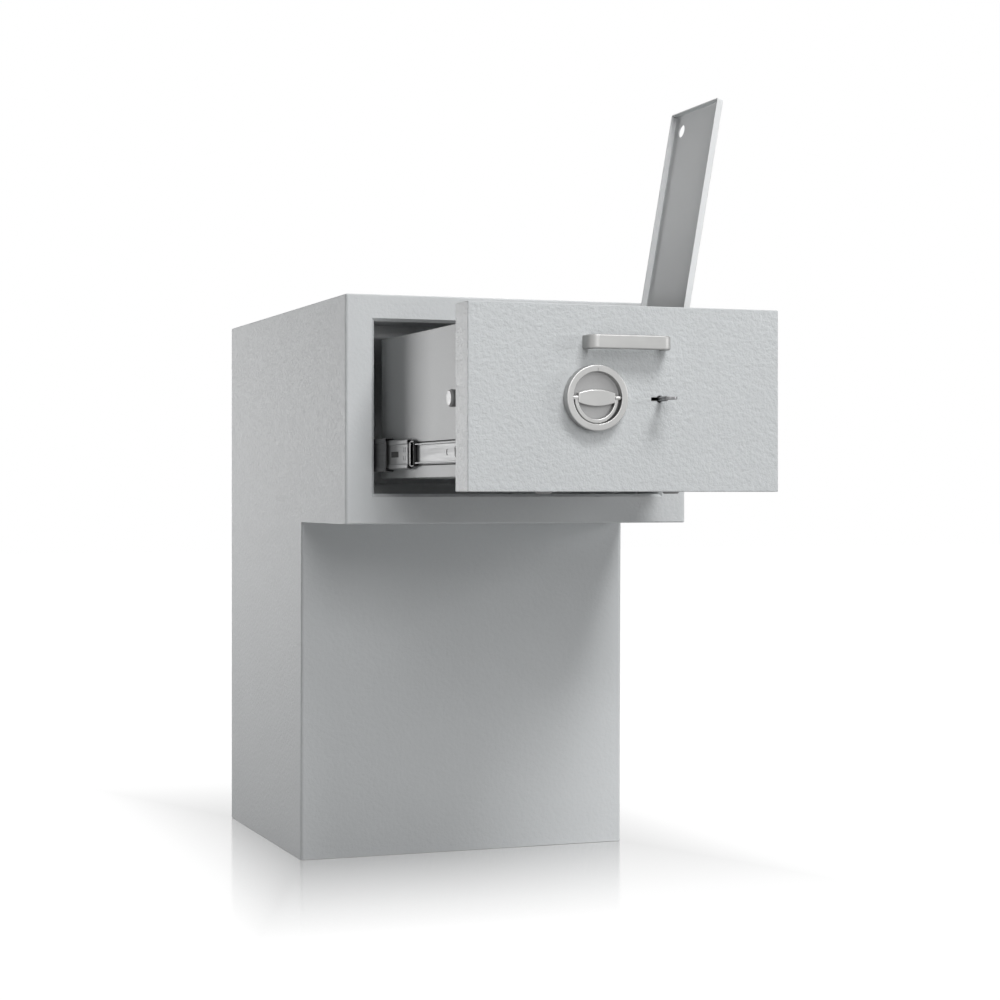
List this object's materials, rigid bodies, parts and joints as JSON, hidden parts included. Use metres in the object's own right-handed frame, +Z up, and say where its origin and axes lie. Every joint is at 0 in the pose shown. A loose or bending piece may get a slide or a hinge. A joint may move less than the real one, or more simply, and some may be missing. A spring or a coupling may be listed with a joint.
{
  "type": "drop safe with deposit drawer",
  "caption": "Floor safe whose upper box overhangs the chest and holds a bolt-locked deposit drawer with a hinged till lid on over-extension slides.",
  "frame": {"origin": "centre of the lower chest's footprint, on the floor", "axes": "+X to the right seen from the front, +Y towards the back, +Z up; the drawer pulls out along -Y"},
  "size_m": [0.5, 1.0885, 1.0329],
  "materials": {
    "body_paint": "smooth light grey powder coat, semi-matt",
    "front_paint": "light grey powder coat with a fine orange-peel texture",
    "bay_paint": "light grey powder coat, semi-matt",
    "tray_paint": "light grey powder coat, semi-matt",
    "lid_paint": "light grey powder coat, semi-matt",
    "zinc_slides": "rolled zinc-plated steel",
    "cage_steel": "dull plated sheet with bright balls",
    "plain_steel": "plain machined steel",
    "satin_handle": "satin nickel grey",
    "satin_knob": "satin nickel grey",
    "key_steel": "worn nickel-plated steel",
    "lock_brass": "plain brass",
    "bright_bolts": "bright turned steel"
  },
  "bodies": {
    "safe": {"side_left": "body_paint", "side_right": "body_paint", "top_plate": "body_paint", "post_left": "body_paint", "post_right": "body_paint", "header": "body_paint", "sill": "body_paint", "underside": "body_paint", "chest_front": "body_paint", "chest_base": "body_paint", "back_plate": "body_paint", "stop_band": "bay_paint", "bay_floor": "bay_paint", "bay_wall_left": "bay_paint", "bay_wall_right": "bay_paint", "drop_chute": "bay_paint", "slide_outer_left": "zinc_slides", "slide_outer_right": "zinc_slides"},
    "slide_middle": {"slide_middle_left": "zinc_slides", "slide_middle_right": "zinc_slides"},
    "slide_second": {"slide_second_left": "zinc_slides", "slide_second_right": "zinc_slides"},
    "drawer": {"slide_inner_left": "zinc_slides", "slide_inner_right": "zinc_slides", "drawer_front": "front_paint", "drawer_liner": "tray_paint", "spindle_sleeve": "plain_steel", "bow_handle": "satin_handle", "bolt_guides": "plain_steel", "lock_body": "plain_steel", "case_cover": "tray_paint", "tray_side_left": "tray_paint", "tray_side_right": "tray_paint", "tray_floor": "tray_paint", "till_partition": "tray_paint", "hinge_rail": "tray_paint", "hopper_back": "tray_paint"},
    "cage_outer": {"ball_cage_outer": "cage_steel"},
    "cage_middle": {"ball_cage_middle": "cage_steel"},
    "cage_inner": {"ball_cage_inner": "cage_steel"},
    "lid": {"till_lid": "lid_paint"},
    "knob": {"pull_knob": "satin_knob", "cam_disc": "plain_steel"},
    "bail": {"bail": "satin_knob"},
    "key": {"key": "key_steel", "lock_curtain": "lock_brass"},
    "lock_bolt": {"lock_bolt": "lock_brass"},
    "bolt_left": {"bolt_left": "bright_bolts"},
    "bolt_right": {"bolt_right": "bright_bolts"},
    "bolts_lower": {"bolts_lower": "bright_bolts"},
    "flap": {"drop_flap": "tray_paint"},
    "service_door": {"service_door": "body_paint"},
    "door_turn": {"door_turn": "satin_handle"}
  },
  "joints": [
    {"name": "slide_middle_run", "type": "slide", "parent": "safe", "child": "slide_middle", "axis": [0, -1, 0], "range_m": [-0.122, 0]},
    {"name": "slide_second_run", "type": "slide", "parent": "slide_middle", "child": "slide_second", "axis": [0, -1, 0], "range_m": [-0.122, 0]},
    {"name": "drawer_run", "type": "slide", "parent": "slide_second", "child": "drawer", "axis": [0, -1, 0], "range_m": [-0.122, 0]},
    {"name": "cage_outer_run", "type": "slide", "parent": "safe", "child": "cage_outer", "axis": [0, -1, 0], "range_m": [-0.061, 0]},
    {"name": "cage_middle_run", "type": "slide", "parent": "slide_middle", "child": "cage_middle", "axis": [0, -1, 0], "range_m": [-0.061, 0]},
    {"name": "cage_inner_run", "type": "slide", "parent": "slide_second", "child": "cage_inner", "axis": [0, -1, 0], "range_m": [-0.061, 0]},
    {"name": "lid_swing", "type": "hinge", "parent": "drawer", "child": "lid", "pos_m": [0.1153, -0.6675, 0.732], "axis": [0, 1, 0], "range_deg": [-100, 0]},
    {"name": "knob_turn", "type": "hinge", "parent": "drawer", "child": "knob", "pos_m": [-0.044, -0.7935, 0.643], "axis": [0, 1, 0], "range_deg": [0, 90]},
    {"name": "bail_lift", "type": "hinge", "parent": "knob", "child": "bail", "pos_m": [-0.044, -0.821, 0.643], "axis": [-1, 0, 0], "range_deg": [0, 95]},
    {"name": "key_turn", "type": "hinge", "parent": "drawer", "child": "key", "pos_m": [0.0435, -0.7935, 0.643], "axis": [0, -1, 0], "range_deg": [0, 90]},
    {"name": "lock_bolt_throw", "type": "slide", "parent": "drawer", "child": "lock_bolt", "axis": [0, 0, -1], "range_m": [0, 0.01]},
    {"name": "bolt_left_throw", "type": "slide", "parent": "drawer", "child": "bolt_left", "axis": [-1, 0, 0], "range_m": [0, 0.018]},
    {"name": "bolt_right_throw", "type": "slide", "parent": "drawer", "child": "bolt_right", "axis": [1, 0, 0], "range_m": [0, 0.018]},
    {"name": "bolts_lower_throw", "type": "slide", "parent": "drawer", "child": "bolts_lower", "axis": [0, 0, -1], "range_m": [0, 0.018]},
    {"name": "flap_drop", "type": "hinge", "parent": "drawer", "child": "flap", "pos_m": [0, -0.5695, 0.5498], "axis": [-1, 0, 0], "range_deg": [0, 75]},
    {"name": "service_door_swing", "type": "hinge", "parent": "safe", "child": "service_door", "pos_m": [0.174, 0.222, 0.255], "axis": [0, 0, -1], "range_deg": [0, 110]},
    {"name": "door_turn_turn", "type": "hinge", "parent": "service_door", "child": "door_turn", "pos_m": [-0.145, 0.2175, 0.255], "axis": [0, -1, 0], "range_deg": [0, 90]}
  ],
  "couplings": [
    {"joint": "cage_outer_run", "follows": "slide_middle_run", "ratio": 0.5},
    {"joint": "cage_middle_run", "follows": "slide_second_run", "ratio": 0.5},
    {"joint": "cage_inner_run", "follows": "drawer_run", "ratio": 0.5},
    {"joint": "bolt_left_throw", "follows": "knob_turn", "m_per_rad": 0.011459},
    {"joint": "bolt_right_throw", "follows": "knob_turn", "m_per_rad": 0.011459},
    {"joint": "bolts_lower_throw", "follows": "knob_turn", "m_per_rad": 0.011459},
    {"joint": "lock_bolt_throw", "follows": "key_turn", "m_per_rad": 0.0063661}
  ]
}
